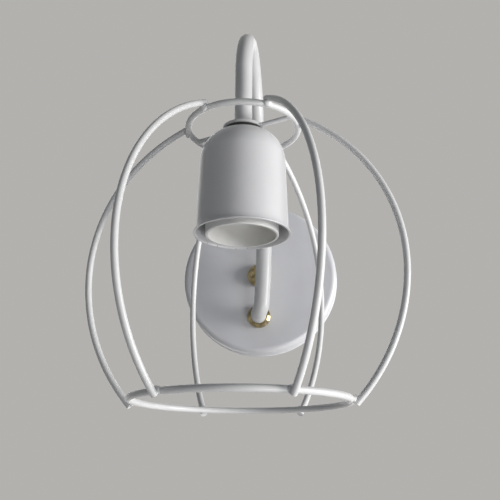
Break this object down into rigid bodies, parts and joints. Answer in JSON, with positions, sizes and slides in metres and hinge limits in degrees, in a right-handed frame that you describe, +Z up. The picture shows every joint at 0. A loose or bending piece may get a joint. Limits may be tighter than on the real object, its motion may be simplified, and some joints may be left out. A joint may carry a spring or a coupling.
{
  "type": "cage wall light",
  "caption": "Wall light: round plate, swan-neck tube, bell cup holding a lamp socket mouth down, inside a globe cage of round wires between two rings.",
  "frame": {"origin": "centre of the wall bracket's back face, on the wall plane", "axes": "+Z up, +Y into the wall, so the lamp stands out along -Y, +X to the right for someone in the room"},
  "size_m": [0.1726, 0.1884, 0.2338],
  "materials": {
    "white_paint": "satin white powder coat with a faint orange peel",
    "polished_brass": "turned brass, polished, a little dulled",
    "zinc_steel": "bright zinc plating",
    "brass_plate": "pressed brass, plain",
    "holder_white": "moulded white plastic, half gloss",
    "insert_white": "unglazed white insulator",
    "spring_steel": "bright spring wire",
    "flex_sheath": "white sheath, matt",
    "black_fibre": "pressed black fibre, matt"
  },
  "bodies": {
    "root": {"backplate": "white_paint", "arm_tube": "white_paint", "cage_top_ring": "white_paint", "cage_bottom_ring": "white_paint", "cage_hub": "white_paint", "cage_crossbar": "white_paint", "cage_wire_1": "white_paint", "cage_wire_2": "white_paint", "cage_wire_3": "white_paint", "cage_wire_4": "white_paint", "cage_wire_5": "white_paint", "cage_wire_6": "white_paint", "socket_cup": "white_paint", "leg_stop_nut": "white_paint", "fixing_nut": "polished_brass", "arm_collar": "polished_brass", "wall_bracket": "zinc_steel", "fixing_stud": "zinc_steel", "stud_nut": "zinc_steel", "arm_lock_nut": "zinc_steel", "arm_lock_washer": "zinc_steel", "leg_lock_nut": "zinc_steel", "leg_lock_washer": "zinc_steel", "earth_screw": "zinc_steel", "terminal_screws": "zinc_steel", "earth_tag": "brass_plate", "screw_shell": "brass_plate", "holder_skirt": "holder_white", "holder_cap": "holder_white", "holder_insert": "insert_white", "contact_spring": "spring_steel", "lamp_flex": "flex_sheath", "hub_spacer": "black_fibre"},
    "contact": {"centre_contact": "brass_plate", "contact_clip": "zinc_steel"}
  },
  "joints": [
    {"name": "contact_press", "type": "slide", "parent": "root", "child": "contact", "axis": [0, 0, 1], "range_m": [0, 0.0015], "stiffness_N_per_m": 300, "springref_m": -0.001, "deforming": ["contact_spring"]}
  ]
}
